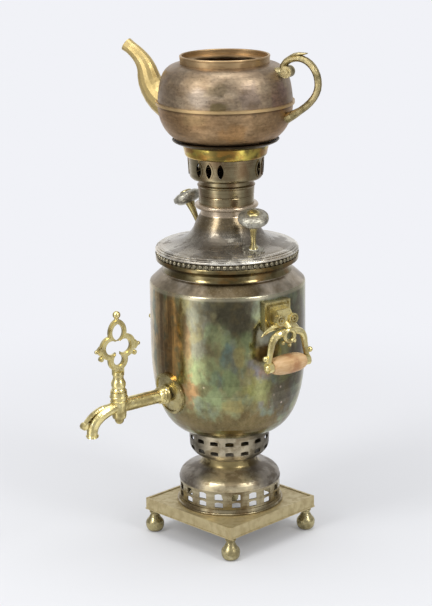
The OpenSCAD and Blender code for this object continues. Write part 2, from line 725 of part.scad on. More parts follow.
// A scroll that looks outwards, with its eye
module scroll_eye(p) translate(p) rotate([0, 90, 0]) {
    difference() {
        cylinder(r = 5.2, h = 5.6, $fn = round_fn);
        translate([0, 0, 3.8]) cylinder(r = 3.7, h = 3, $fn = round_fn);
    }
    difference() {
        cylinder(r = 2.7, h = 6.2, $fn = 24);
        translate([0, 0, 3]) cylinder(r = 1.3, h = 4, $fn = 24);
    }
}

module rod_hole() translate([grip_reach, -bracket_w, grip_z]) rotate([-90, 0, 0])
    cylinder(r = rod_r + solder_gap, h = 2 * bracket_w, $fn = round_fn);

module grip_rod(right) color("#b3a468") sided(right)
    translate([grip_reach, 0, grip_z]) rotate([90, 0, 0]) {
        half = grip_len / 2 + lug_gap + lug_t + 0.1;
        translate([0, 0, -half - 0.8]) cylinder(r = rod_r, h = 2 * half + 1.6, $fn = round_fn);
        for (s = [0, 1]) mirror([0, 0, s]) translate([0, 0, half]) rotate_extrude($fn = round_fn)
            polygon(concat([[0, 0], [3.4, 0]], curve([3.4, 0], [3.2, 1.4], [1.8, 2.2], [0, 2.2])));
    }

module grip(right) color("#d9a878") sided(right)
    translate([grip_reach, 0, grip_z]) rotate([90, 0, 0]) rotate_extrude() {
        half = grip_len / 2;
        end_r = grip_r * 0.62;
        bore = rod_r + rod_gap;
        polygon(concat([[bore, -half], [end_r, -half]],
            curve([end_r, -half], [grip_r * 0.95, -half * 0.8], [grip_r, -half * 0.4], [grip_r, 0], 10),
            curve([grip_r, 0], [grip_r, half * 0.4], [grip_r * 0.95, half * 0.8], [end_r, half], 10),
            [[bore, half]]));
    }

// ---- Lid ----

lid_cone_z = lid_z + lid_rim_h;
skirt_r = throat_r - lift_gap;
cone_edge_r = lid_r - 4.6;

module lid_rim() color("#8d8577") {
    rotate_extrude() polygon(concat(
        [[skirt_r - sheet, lid_z - 6], [skirt_r, lid_z - 6], [skirt_r, lid_z], [lid_r - 0.8, lid_z]],
        curve([lid_r - 0.8, lid_z], [lid_r + 0.2, lid_z + 0.3], [lid_r, lid_z + 1.6],
            [lid_r - 0.6, lid_z + 2.2], 6),
        ring_bulge(lid_r - 1.7, lid_z + 2.4, 0.8, 1.3),
        [[lid_r - 2.9, lid_z + 3.9]], ring_bulge(lid_r - 3.6, lid_z + 4, 0.6, 1),
        [[cone_edge_r, lid_cone_z - 0.2], [cone_edge_r, lid_cone_z - sheet],
         [skirt_r - sheet, lid_cone_z - sheet]]));
}

// Outer outline of the lid's cone, from the neck down to the rim
function cone_outline() = let (h = lid_h, z = lid_cone_z) concat(
    [[cone_edge_r - solder_gap, z], [skirt_r - sheet, z]],
    curve([skirt_r - sheet, z], [lid_r - 15, z + h * 0.1], [43, z - h * 0.02], [33, z + h * 0.45], 12),
    curve([33, z + h * 0.45], [29.5, z + h * 0.72], [lid_neck_r + 0.5, z + h * 0.8],
        [lid_neck_r, z + h * 0.9], 6),
    [[lid_neck_r, lid_top]]);

module lid_cone() color("#8d8577") spun(cone_outline());

// Height of the lid's outer face at radius s
function lid_face(s) = lookup(-s, [for (p = cone_outline()) [-p[0], p[1]]]);

// A place on the lid: side 0 is the front knob, 1 the back one
module on_lid(side) rotate(knob_turn + 180 * side)
    translate([knob_reach, 0, lid_face(knob_reach)]) children();

// The same place, along the leaning stem
module on_stem(side) on_lid(side)
    rotate(side == 0 ? -30 : 28) rotate([0, side == 0 ? front_lean : back_lean, 0]) children();

shank_r = 2;
cap_low = knob_h - 14;

module knob_flange(side) color("#a39c8a") difference() {
    union() {
        on_lid(side) rotate([0, knob_lean, 0]) {
            translate([0, 0, -2]) cylinder(r = 9, h = 4, $fn = round_fn);
            around(8) translate([8.6, 0, -2]) cylinder(r = 2.8, h = 3.6, $fn = 24);
        }
        on_stem(side) turned([[5.8, -1], [5.6, 2.6], [4.6, 3.6]]);
    }
    on_stem(side) translate([0, 0, -4]) cylinder(r = shank_r + solder_gap, h = 10, $fn = 24);
    turned(concat([[cone_edge_r, lid_z]], moved(cone_outline(), -solder_gap)));
}

module knob_stem(side) color("#a98f45") on_stem(side) {
    turned(concat([[shank_r + 2.6, 3.6]],
        curve([shank_r + 2.6, 3.6], [shank_r + 0.6, 5.6], [shank_r + 0.2, 9], [shank_r + 0.6, 14]),
        curve([shank_r + 0.6, 14], [shank_r + 0.9, 20], [shank_r + 2, cap_low - 3],
            [shank_r + 3, cap_low])));
    translate([0, 0, 1]) cylinder(r = shank_r, h = knob_h - 2, $fn = 24);
    turned(concat([[6.2, knob_h - 2]],
        curve([6.2, knob_h - 2], [6.1, knob_h - 0.5], [3, knob_h], [0.2, knob_h])));
}

module knob_cap(side) color("#b3ada0") on_stem(side) difference() {
    rim_z = cap_low + 3.8;
    rim_h = 5.6;
    turned(concat([[shank_r + 3, cap_low]],
        curve([shank_r + 3, cap_low], [knob_r * 0.62, cap_low + 0.3], [knob_r * 0.82, cap_low + 1.2],
            [knob_r * 0.87, rim_z], 6),
        [[knob_r - 0.8, rim_z + 0.2]],
        curve([knob_r - 0.8, rim_z + 0.2], [knob_r + 0.2, rim_z + 0.8], [knob_r + 0.2, rim_z + rim_h - 0.8],
            [knob_r - 1, rim_z + rim_h], 8),
        [[knob_r - 1.8, rim_z + rim_h - 0.1]],
        curve([knob_r - 1.8, rim_z + rim_h - 0.1], [knob_r * 0.72, knob_h - 2.6], [9, knob_h - 2.2],
            [6.6, knob_h - 2.2]),
        [[6.3, knob_h - 2.05]]));
    translate([0, 0, cap_low - 1]) cylinder(r = shank_r + solder_gap, h = knob_h, $fn = 24);
}

// ---- Crown ----

module crown_ring() color("#8d8577") rotate_extrude() polygon(concat(
    [[chimney_r + lift_gap, crown_z], [roll_r - 2.4, crown_z]],
    [for (a = [-80 : 20 : 80]) [roll_r - roll_h / 2 + roll_h / 2 * cos(a),
        crown_z + roll_h / 2 * (1 + sin(a))]],
    [[sleeve_r + solder_gap, crown_z + roll_h], [sleeve_r + solder_gap, sleeve_z],
     [chimney_r + lift_gap, sleeve_z]]));

// Outer outline of the sleeve, with a groove, a bright rim and the neck under the band
function sleeve_outline() = let (g = sleeve_z + sleeve_h * 0.5, top = sleeve_z + sleeve_h) concat(
    [[sleeve_r, sleeve_z], [sleeve_r, g - 0.8], [sleeve_r - 0.5, g], [sleeve_r + 0.2, g + 0.8],
     [sleeve_r + 0.6, top - 2.2], [sleeve_r + 1.3, top - 1.2], [sleeve_r + 1.3, top - 0.2],
     [sleeve_r + 0.6, top + 0.4], [sleeve_r, top + 1.2], [sleeve_r, fret_z]]);

module crown_sleeve() color("#97793a") spun(sleeve_outline());

band_flare = 1;
band_round = 5;

module crown_band() color("#5f5535") {
    mid = flare_z - slot_h / 2 - 2.6;
    low = [fret_r - band_round, fret_z];
    difference() {
        union() {
            spun(concat([[sleeve_r - sheet - 0.6, fret_z], low],
                curve(low, low + [band_round * 0.6, 0], [fret_r, fret_z + band_round * 0.4],
                    [fret_r, fret_z + band_round], 6),
                [[fret_r + band_flare, flare_z - 1], [fret_r + band_flare, flare_z]]));
            intersection() {
                spun([[fret_r + 0.7, fret_z + 3], [fret_r + band_flare + 0.7, flare_z - 1]], 1.2);
                slots(slot_h + 2.4, slot_w + 2.4, mid);
            }
        }
        slots(slot_h, slot_w, mid);
    }
}

// Groups of three slots round the band, set by eye
slot_groups = [-65, 39, 127, 211];

module slots(h, w, z) for (g = slot_groups, i = [-1 : 1])
    rotate(g + slot_pitch * i) rotate([90, 0, 90])
        translate([0, z, sleeve_r]) linear_extrude(fret_r - sleeve_r + 8) lens(h, w);

module crown_cup() color("#b08f3c") {
    inner = fret_r + band_flare - sheet - 0.4;
    foot = flare_r - 4.4;
    spun(concat([[inner, flare_z], [foot, flare_z]],
        curve([foot, flare_z], [foot + 1.6, flare_z], [foot + 2.6, flare_z + 1.4],
            [foot + 2.8, flare_z + 3.6], 6),
        [[flare_r, tray_z - 1], [flare_r, tray_z]]));
}

tray_hole_r = 30;
tray_flat_r = 44.4;

module crown_tray() color("#4a4432")
    spun([[tray_hole_r, tray_z], [tray_flat_r, tray_z], [tray_r - 1, tray_z + 3.2],
        [tray_r, tray_z + 4.4]]);

// ---- Teapot ----

// Outer outline of the lower shell, from the middle of its bottom up
function pot_low_outline() = let (foot = [38, pot_z + 0.6], top = [pot_r, seam_z - 1.4]) concat(
    [[0, pot_z], [34, pot_z], foot],
    curve(foot, foot + [16, 2.4], [pot_r + 0.2, pot_z + pot_low_h * 0.44], top, 14),
    [[pot_r, seam_z]]);

// Outer outline of the upper shell, from the seam up to the collar's seat
function pot_up_outline() = let (rim = [collar_r + 5, collar_z - 0.8], foot = [pot_r, seam_z + 1.4]) concat(
    [[pot_r, seam_z], foot],
    curve(foot, [pot_r - 1.6, seam_z + pot_up_h * 0.62],
        [pot_r - 5, seam_z + pot_up_h * 0.9], rim, 14),
    [[collar_r, collar_z], [mouth_r + 4, collar_z]]);

// Radius of the pot's outer face at height z
function pot_face(z) = z < seam_z
    ? lookup(z, [for (p = pot_low_outline()) [p[1], p[0]]])
    : lookup(z, [for (p = pot_up_outline()) [p[1], p[0]]]);

seam_t = 1.3;

module pot_lower() color("#8a705c") {
    spun(pot_low_outline());
    difference() {
        washer(seam_r, pot_r - sheet, seam_z - seam_t, seam_z);
        spout_seat();
    }
}

module pot_upper() color("#8f7763") difference() {
    union() {
        spun(pot_up_outline());
        difference() {
            washer(seam_r, pot_r - sheet, seam_z, seam_z + seam_t);
            spout_seat();
        }
    }
    rotate(pot_turn + 180) translate([pot_r - 12, 0, seam_z + 10]) rotate([0, 90, 0]) {
        cylinder(r = strainer_r, h = 20, $fn = 24);
        around(6) translate([strainer_r * 3, 0, 0]) cylinder(r = strainer_r, h = 20, $fn = 24);
    }
}

// Room for the root of the spout in the flange of the seam
module spout_seat() rotate(pot_turn + 180) translate([pot_r - 14, 0, seam_z - 2])
    rotate([0, 90, 0]) cylinder(r = spout_root_r * 1.6, h = 26, $fn = round_fn);

module pot_collar() color("#9a8062") {
    inner = collar_r - 2.2;
    top = collar_z + collar_h;
    ledge_z = top - 5.2;
    rotate_extrude() polygon(concat(
        [[mouth_r + 4.2, collar_z], [collar_r - 0.4, collar_z], [collar_r - 0.2, top - 2.4]],
        curve([collar_r - 0.2, top - 2.4], [collar_r + 0.6, top - 0.8], [collar_r - 0.2, top],
            [collar_r - 1.1, top], 5),
        curve([collar_r - 1.1, top], [inner + 0.3, top], [inner, top - 0.5], [inner, top - 1.2], 4),
        [[inner, ledge_z], [mouth_r, ledge_z - 0.8], [mouth_r, collar_z + 0.6],
         [mouth_r + 4.2, collar_z + 0.6]]));
}

// The spout: a hollow gooseneck whose root lies on the pot's wall and whose tip is a beak
module pot_spout() color("#bda057") rotate(pot_turn + 180) {
    n = [6, 8];
    k = n[0] + n[1];
    root = [pot_r - 8, 0, seam_z - 4.6];
    knee = [pot_r + 18.6, 0, seam_z + spout_rise * 0.44];
    tip = [spout_reach, 0, seam_z + spout_rise];
    path = concat([root], curve(root, root + [14, 0, 2.4], knee - [2, 0, 12], knee, n[0]),
        curve(knee, knee + [2, 0, 12], tip - [13, 0, 8], tip, n[1]));
    wide = [for (i = [0 : k]) spout_tip_r + (spout_root_r - spout_tip_r) * pow(1 - i / k, 1.5)
        + (i == k ? 0.6 : 0)];
    tall = [for (i = [0 : k]) wide[i] * (1 + 0.39 * pow(1 - i / k, 1.7))];
    in_wide = [for (r = wide) r - spout_wall];
    in_tall = [for (r = tall) r - spout_wall];
    difference() {
        bar(path, tall, wide, [0, -1, 0], 16);
        bar(concat([root - [2, 0, 0.4]], path, [tip + [1.1, 0, 0.7]]),
            concat([in_tall[0]], in_tall, [in_tall[k]]), concat([in_wide[0]], in_wide, [in_wide[k]]),
            [0, -1, 0], 16);
        pot_solid(solder_gap * 3);
    }
}

// The handle: a cast bar with a scroll and a leaf on top
module pot_handle() color("#a89a60") rotate(pot_turn) {
    z = seam_z;
    head = [pot_r - 4.6, 0, z + 34];
    back = [grab_reach, 0, z + 21.5];
    low = [pot_face(z - 12.5) + 0.2, 0, z - 12.5];
    crest = [pot_r + 15.7, 0, z + 45.4];
    path = concat([head], curve(head, head + [1, 0, 10], crest + [-8.5, 0, 2.2], crest, 6),
        curve(crest, crest + [10.5, 0, -2.8], back + [0.2, 0, 11], back, 7),
        curve(back, back + [-0.4, 0, -12], low + [22, 0, 11], low, 8));
    m = len(path) - 1;
    difference() {
        union() {
            bar(path, [for (i = [0 : m]) 3.5 + (i > m - 2 ? 0.8 * (i - m + 2) : 0)],
                [for (i = [0 : m]) grab_w + (i > m - 2 ? 0.8 * (i - m + 2) : 0)], [0, -1, 0]);
            translate([pot_r + 0.4, 5, z + 32.6]) rotate([90, 0, 0]) {
                cylinder(r = 5.8, h = 10, $fn = round_fn);
                translate([0, 0, -0.8]) cylinder(r = 3, h = 11.6, $fn = 24);
            }
            translate([pot_r - 10, 0, z + 30]) rotate([0, 68, 0]) cylinder(r1 = 6.4, r2 = 4, h = 10, $fn = 24);
            bar(leaf_on_crest(crest), [1.8, 2, 1.8, 1.2, 0.5], [2.4, 4.4, 4.2, 2.8, 0.8], [0, -1, 0], 8);
        }
        pot_solid(solder_gap * 3);
    }
}

// The leaf that lifts off the top of the handle
function leaf_on_crest(c) = [c + [-13, 0, 0.8], c + [-8, 0, 3.4], c + [-3, 0, 4.6], c + [2, 0, 5],
    c + [5.5, 0, 5.6]];

// The pot without its flange, filled and grown
module pot_solid(grow) {
    turned(moved(pot_low_outline(), -grow));
    turned(moved(pot_up_outline(), -grow));
}

base_plate();
for (i = [1 : 4]) foot(i);
base_ring();
lower_gallery();
pedestal_dome();
upper_gallery();
body_shell();
body_bottom();
throat_ring();
bead_ring();
fire_tube();
fire_grate();
tap_flange();
tap_body();
tap_key();
handle_plate(true);  // handle_plate_right
handle_plate(false);  // handle_plate_left
handle_arm(true);  // handle_arm_right
handle_arm(false);  // handle_arm_left
grip_rod(true);  // grip_rod_right
grip_rod(false);  // grip_rod_left
grip(true);  // grip_right
grip(false);  // grip_left
lid_rim();
lid_cone();
knob_flange(0);  // knob_flange_front
knob_flange(1);  // knob_flange_back
knob_stem(0);  // knob_stem_front
knob_stem(1);  // knob_stem_back
knob_cap(0);  // knob_cap_front
knob_cap(1);  // knob_cap_back
crown_ring();
crown_sleeve();
crown_band();
crown_cup();
crown_tray();
pot_lower();
pot_upper();
pot_collar();
pot_spout();
pot_handle();
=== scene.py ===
"""Looks of a charcoal samovar and its teapot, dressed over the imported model.

Everything is in metres in the model's own frame: +Z up, -Y towards the tap, +X towards one carrying
handle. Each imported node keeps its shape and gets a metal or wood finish. The floor is the only shape
added here.
"""

import json
import math

import bpy
from mathutils import Matrix, Vector


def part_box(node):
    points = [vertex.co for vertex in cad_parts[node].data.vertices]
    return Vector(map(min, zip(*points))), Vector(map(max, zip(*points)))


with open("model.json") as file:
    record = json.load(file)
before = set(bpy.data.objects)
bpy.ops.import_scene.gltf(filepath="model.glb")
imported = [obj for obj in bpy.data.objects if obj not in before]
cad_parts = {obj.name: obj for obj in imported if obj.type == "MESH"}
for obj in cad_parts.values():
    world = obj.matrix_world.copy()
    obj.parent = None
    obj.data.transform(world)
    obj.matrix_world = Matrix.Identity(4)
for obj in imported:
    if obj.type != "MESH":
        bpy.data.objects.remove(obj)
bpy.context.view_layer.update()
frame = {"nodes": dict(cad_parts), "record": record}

# ---- Camera ----
CAMERA_TURN = math.radians(52.0)
CAMERA_RISE = math.radians(15.5)
CAMERA_ROLL = math.radians(0.7)
CAMERA_DISTANCE = 1.85
AIM = Vector((0.0, 0.0, 0.2425))
SENSOR = 36.0
FRAME_WIDE, FRAME_TALL = 432, 606
AIM_PIXEL_X = 227.7
MM_PER_M = 1000.0


def heading(turn, rise):
    """The direction towards a place at that turn and rise, seen from the samovar."""
    return Vector((math.sin(turn) * math.cos(rise), -math.cos(turn) * math.cos(rise), math.sin(rise)))


def set_camera():
    back = heading(CAMERA_TURN, CAMERA_RISE)
    lens = bpy.data.cameras.new("studio_camera")
    lens.sensor_width = SENSOR
    # One pixel is one millimetre at the upright axis
    lens.lens = CAMERA_DISTANCE * MM_PER_M * SENSOR / FRAME_TALL
    lens.shift_x = (FRAME_WIDE / 2 - AIM_PIXEL_X) / FRAME_TALL
    camera = bpy.data.objects.new("studio_camera", lens)
    turn = back.to_track_quat("Z", "Y").to_matrix() @ Matrix.Rotation(-CAMERA_ROLL, 3, "Z")
    camera.matrix_world = Matrix.Translation(AIM + back * CAMERA_DISTANCE) @ turn.to_4x4()
    bpy.context.scene.collection.objects.link(camera)
    bpy.context.scene.camera = camera


set_camera()


# ---- Short calls for shader trees ----
def tone(red, green, blue):
    """A colour written in screen values, as the linear colour that shaders take."""
    parts = [c / 255.0 for c in (red, green, blue)]
    return tuple(c / 12.92 if c <= 0.04045 else ((c + 0.055) / 1.055) ** 2.4 for c in parts) + (1.0,)


class Tree:
    """A shader tree. Any input may be given a number, a colour, a vector or another node's socket."""

    def __init__(self, tree):
        self.tree = tree

    def put(self, socket, value):
        if isinstance(value, bpy.types.NodeSocket):
            self.tree.links.new(value, socket)
        else:
            socket.default_value = value

    def node(self, kind, inputs=None, **settings):
        made = self.tree.nodes.new(kind)
        for key, value in settings.items():
            setattr(made, key, value)
        for key, value in (inputs or {}).items():
            self.put(made.inputs[key], value)
        return made

    def math(self, operation, *values, clamp=False):
        made = self.node("ShaderNodeMath", operation=operation, use_clamp=clamp)
        for socket, value in zip(made.inputs, values):
            self.put(socket, value)
        return made.outputs[0]

    def vector(self, operation, *values):
        made = self.node("ShaderNodeVectorMath", operation=operation)
        for socket, value in zip(made.inputs, values):
            self.put(socket, value)
        return made.outputs["Value" if operation in ("LENGTH", "DOT_PRODUCT") else "Vector"]

    def span(self, value, low, high, to_low=0.0, to_high=1.0):
        return self.node("ShaderNodeMapRange", {"Value": value, "From Min": low, "From Max": high,
                                                "To Min": to_low, "To Max": to_high},
                         interpolation_type="SMOOTHSTEP").outputs["Result"]

    def mix(self, mask, first, second, blend="MIX"):
        made = self.node("ShaderNodeMix", data_type="RGBA", blend_type=blend)
        self.put(made.inputs[0], mask)
        self.put(made.inputs[6], first)
        self.put(made.inputs[7], second)
        return made.outputs[2]

    def ramp(self, value, stops):
        made = self.node("ShaderNodeValToRGB", {"Fac": value})
        scale = made.color_ramp
        while len(scale.elements) < len(stops):
            scale.elements.new(0.5)
        for element, (place, colour) in zip(scale.elements, stops):
            element.position = place
            element.color = colour
        return made.outputs["Color"]

    def place(self):
        """The point on the piece, in the model's frame and in metres."""
        return self.node("ShaderNodeTexCoord").outputs["Object"]

    def height(self):
        """The height of the point on the piece, in metres."""
        return self.node("ShaderNodeSeparateXYZ", {"Vector": self.place()}).outputs["Z"]

    def outward(self):
        """The way out from the upright axis to the point, laid level."""
        return self.vector("MULTIPLY", self.place(), (1.0, 1.0, 0.0))

    def total(self, base, *shares):
        """A base plus shares of values, each share given as a value and its factor."""
        for value, factor in shares:
            base = self.math("MULTIPLY_ADD", value, factor, base)
        return base

    def cover(self, colour, mask, strength, over):
        """The colour with another laid over it where the mask is, at a strength."""
        return self.mix(self.math("MULTIPLY", mask, strength), colour, over)

    def shade(self, colour, level):
        """The colour made darker or lighter by a level that is the same for red, green and blue."""
        grey = self.node("ShaderNodeCombineXYZ", {"X": level, "Y": level, "Z": level}).outputs[0]
        return self.mix(1.0, colour, grey, "MULTIPLY")

    def effect(self, group, **inputs):
        made = self.node("ShaderNodeGroup", node_tree=group)
        for key, value in inputs.items():
            self.put(made.inputs[key], value)
        return made.outputs


def effect_group(name, inputs, outputs, fill):
    """A shader group whose inputs are (name, default) and whose outputs are (name, socket kind)."""
    tree = bpy.data.node_groups.new(name, "ShaderNodeTree")
    for label, default in inputs:
        socket = tree.interface.new_socket(name=label, in_out="INPUT", socket_type="NodeSocketFloat")
        socket.default_value = default
    for label, kind in outputs:
        tree.interface.new_socket(name=label, in_out="OUTPUT", socket_type=kind)
    t = Tree(tree)
    given = t.node("NodeGroupInput").outputs
    sent = t.node("NodeGroupOutput")
    for label, socket in fill(t, given).items():
        t.put(sent.inputs[label], socket)
    return tree


NUMBER = "NodeSocketFloat"
COLOUR = "NodeSocketColor"


# ---- Effects that the finishes share ----
def fill_patches(t, given):
    spread = t.node("ShaderNodeCombineXYZ", {"X": 1.0, "Y": 1.0, "Z": given["Stretch"]}).outputs[0]
    point = t.vector("ADD", t.vector("MULTIPLY", t.place(), spread), t.node(
        "ShaderNodeCombineXYZ", {"X": given["Seed"], "Y": given["Seed"], "Z": given["Seed"]}).outputs[0])
    cloud = t.node("ShaderNodeTexNoise", {"Vector": point, "Scale": given["Scale"], "Detail": 5.0,
                                          "Roughness": 0.55})
    return {"Mask": t.span(cloud.outputs["Fac"], given["Low"], given["High"]), "Cloud": cloud.outputs["Fac"]}


PATCHES = effect_group("patches", [("Scale", 20.0), ("Stretch", 1.0), ("Low", 0.4), ("High", 0.6), ("Seed", 0.0)],
                       [("Mask", NUMBER), ("Cloud", NUMBER)], fill_patches)


# How much the lines also follow the radius, so that level faces show rings
LINES_BY_RADIUS = 0.73


def fill_turning_lines(t, given):
    """Fine lines left by spinning and polishing, which run level round the upright axis."""
    place = t.node("ShaderNodeSeparateXYZ", {"Vector": t.place()}).outputs
    along = t.math("MULTIPLY_ADD", t.vector("LENGTH", t.outward()), LINES_BY_RADIUS, place["Z"])
    point = t.node("ShaderNodeCombineXYZ", {
        "X": t.math("MULTIPLY_ADD", place["X"], given["Wander"], given["Seed"]),
        "Y": t.math("MULTIPLY", place["Y"], given["Wander"]),
        "Z": t.math("MULTIPLY", along, given["Fineness"])}).outputs[0]
    lines = t.node("ShaderNodeTexNoise", {"Vector": point, "Scale": 1.0, "Detail": 3.0, "Roughness": 0.7})
    return {"Lines": lines.outputs["Fac"]}


TURNING = effect_group("turning_lines", [("Fineness", 900.0), ("Wander", 14.0), ("Seed", 0.0)],
                       [("Lines", NUMBER)], fill_turning_lines)


def fill_pits(t, given):
    """Small round pits and specks scattered over a surface."""
    cells = t.node("ShaderNodeTexVoronoi", {"Vector": t.place(), "Scale": given["Scale"], "Randomness": 1.0})
    chance = t.node("ShaderNodeSeparateColor", {"Color": cells.outputs["Color"]}).outputs[0]
    kept = t.math("LESS_THAN", chance, given["Share"])
    spot = t.span(cells.outputs["Distance"], given["Size"], t.math("MULTIPLY", given["Size"], 0.35))
    return {"Mask": t.math("MULTIPLY", spot, kept)}


PITS = effect_group("pits", [("Scale", 300.0), ("Share", 0.3), ("Size", 0.3)], [("Mask", NUMBER)], fill_pits)


def fill_scratches(t, given):
    """Hair-thin scratches that cross the surface in three directions."""
    found = 0.0
    for turn, tip in ((0.4, 0.2), (1.7, -0.5), (2.6, 0.9)):
        point = t.node("ShaderNodeMapping", {"Vector": t.place(), "Rotation": (tip, turn, turn * 1.3),
                                             "Scale": (1.0, 22.0, 22.0)}).outputs[0]
        hair = t.node("ShaderNodeTexNoise", {"Vector": point, "Scale": given["Scale"], "Detail": 1.0})
        close = t.math("ABSOLUTE", t.math("SUBTRACT", hair.outputs["Fac"], 0.5))
        found = t.math("MAXIMUM", found, t.span(close, given["Width"], 0.0))
    return {"Mask": found}


SCRATCHES = effect_group("scratches", [("Scale", 20.0), ("Width", 0.01)], [("Mask", NUMBER)], fill_scratches)


# The reach at which a spot starts to fade in, and at which it is full
SPOT_RIM = (1.25, 0.55)


def fill_spot(t, given):
    """A ragged spot on a round piece, at a turn about the upright axis and a height."""
    turn = t.math("RADIANS", given["Turn"])
    facing = t.node("ShaderNodeCombineXYZ", {"X": t.math("COSINE", turn), "Y": t.math("SINE", turn),
                                             "Z": 0.0}).outputs[0]
    apart = t.math("ARCCOSINE", t.vector("DOT_PRODUCT", t.vector("NORMALIZE", t.outward()), facing))
    aside = t.math("DIVIDE", apart, t.math("RADIANS", given["Wide"]))
    above = t.math("DIVIDE", t.math("SUBTRACT", t.height(), given["Height"]), given["Tall"])
    reach = t.math("SQRT", t.math("ADD", t.math("MULTIPLY", aside, aside), t.math("MULTIPLY", above, above)))
    point = t.vector("MULTIPLY", t.place(), (1.0, 1.0, 0.7))
    cloud = t.node("ShaderNodeTexNoise", {"Vector": point, "Scale": given["Grain"], "Detail": 3.0}).outputs["Fac"]
    edge = t.math("MULTIPLY_ADD", t.math("SUBTRACT", cloud, 0.5), given["Ragged"], reach)
    return {"Mask": t.span(edge, *SPOT_RIM)}


SPOT = effect_group("spot", [("Turn", 0.0), ("Height", 0.2), ("Wide", 20.0), ("Tall", 0.02), ("Ragged", 1.2),
                             ("Grain", 60.0)], [("Mask", NUMBER)], fill_spot)


def add_spots(t, colour, spots, ragged, grain):
    """Lays spots on a colour. Each is its turn, height, half width in degrees, half height, strength and colour."""
    for turn, height, wide, tall, strength, over in spots:
        spot = t.effect(SPOT, Turn=float(turn), Height=height, Wide=float(wide), Tall=tall, Ragged=ragged,
                        Grain=grain)["Mask"]
        colour = t.cover(colour, spot, strength, over)
    return colour


def fill_heat_film(t, given):
    """The colours that a thin film of tarnish runs through as it thickens."""
    return {"Color": t.ramp(given["Thickness"], [
        (0.00, tone(134, 112, 74)), (0.14, tone(160, 124, 82)), (0.26, tone(150, 118, 106)),
        (0.36, tone(126, 118, 134)), (0.48, tone(112, 138, 138)), (0.60, tone(138, 160, 122)),
        (0.74, tone(172, 172, 108)), (0.88, tone(150, 138, 92)), (1.00, tone(128, 124, 98))])}


FILM = effect_group("heat_film", [("Thickness", 0.5)], [("Color", COLOUR)], fill_heat_film)


# ---- Finishes ----
# Places where one finish gives way to the next, in metres
WALL_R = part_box("body_shell")[1].x
GALLERY_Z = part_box("upper_gallery")[0].z
SEAM_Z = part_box("pot_lower")[1].z
LID_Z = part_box("lid_rim")[0].z
BEAD_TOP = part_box("bead_ring")[1].z
NECK_Z = GALLERY_Z - 0.0095
BRIM_Z = SEAM_Z + 0.0375
SHOULDER_Z = 0.2672
CROWN_Z = 0.36
BLOT_Z = LID_Z + 0.0115
SHARP = 0.001
VIEWPORT_COLOUR = (0.5, 0.4, 0.2, 1.0)


def metal(name, paint):
    """A finish. paint(t) returns its colour, roughness, bump height, bump depth in metres, and metallic if not 1."""
    made = bpy.data.materials.new(name)
    made.use_nodes = True
    t = Tree(made.node_tree)
    shader = made.node_tree.nodes["Principled BSDF"]
    look = paint(t)
    t.put(shader.inputs["Base Color"], look["colour"])
    t.put(shader.inputs["Roughness"], look["rough"])
    shader.inputs["Metallic"].default_value = look.get("metallic", 1.0)
    if "height" in look:
        bump = t.node("ShaderNodeBump", {"Height": look["height"], "Distance": look["depth"], "Strength": 1.0})
        t.put(shader.inputs["Normal"], bump.outputs["Normal"])
    made.diffuse_color = VIEWPORT_COLOUR
    return made


def worn_metal(dark, plain, bright, rough=0.28, scale=30.0, depth=0.00012, pit_scale=500.0, pit_share=0.25, seed=0.0,
               metallic=1.0, wall_darkening=0.0):
    """Paint for a cast and handled metal: dark in patches and pits, bright where it is rubbed, and if asked, darker
    within a centimetre of the urn's wall.
    """
    def paint(t):
        tarnish = t.effect(PATCHES, Scale=scale, Low=0.42, High=0.68, Seed=seed)["Mask"]
        rubbed = t.effect(PATCHES, Scale=scale * 2.3, Low=0.5, High=0.72, Seed=seed + 3.0)["Mask"]
        pits = t.effect(PITS, Scale=pit_scale, Share=pit_share, Size=0.35)["Mask"]
        colour = t.mix(t.math("MULTIPLY", rubbed, 0.8), plain, bright)
        colour = t.cover(colour, tarnish, 0.75, dark)
        colour = t.cover(colour, pits, 0.55, dark)
        # Darker within a centimetre of the urn's wall, where the pieces meet it
        if wall_darkening:
            near_wall = t.span(t.vector("LENGTH", t.outward()), WALL_R + 0.010, WALL_R + 0.001)
            colour = t.cover(colour, near_wall, wall_darkening, tone(92, 80, 52))
        wave = t.effect(PATCHES, Scale=scale * 5.0, Seed=seed + 1.0)["Cloud"]
        return {"colour": colour, "rough": t.math("MULTIPLY_ADD", tarnish, 0.16, rough), "depth": depth,
                "metallic": metallic, "height": t.math("SUBTRACT", t.math("MULTIPLY", wave, 2.0), pits)}
    return paint


def spun_metal(dark, plain, bright, rough=0.24, scale=24.0, fineness=900.0, line_depth=0.6, seed=0.0, depth=0.00004,
               metallic=1.0):
    """Paint for a spun and polished sheet: level turning lines, clouds of tarnish and hair scratches."""
    def paint(t):
        tarnish = t.effect(PATCHES, Scale=scale, Stretch=0.7, Low=0.40, High=0.66, Seed=seed)["Mask"]
        lines = t.effect(TURNING, Fineness=fineness, Seed=seed)["Lines"]
        hair = t.effect(SCRATCHES, Scale=22.0, Width=0.012)["Mask"]
        colour = t.mix(t.span(lines, 0.3, 0.7), plain, bright)
        colour = t.cover(colour, tarnish, 0.8, dark)
        colour = t.cover(colour, hair, 0.3, bright)
        return {"colour": colour, "rough": t.total(rough, (lines, 0.12), (tarnish, 0.14)),
                "height": t.math("MULTIPLY", lines, line_depth), "depth": depth, "metallic": metallic}
    return paint


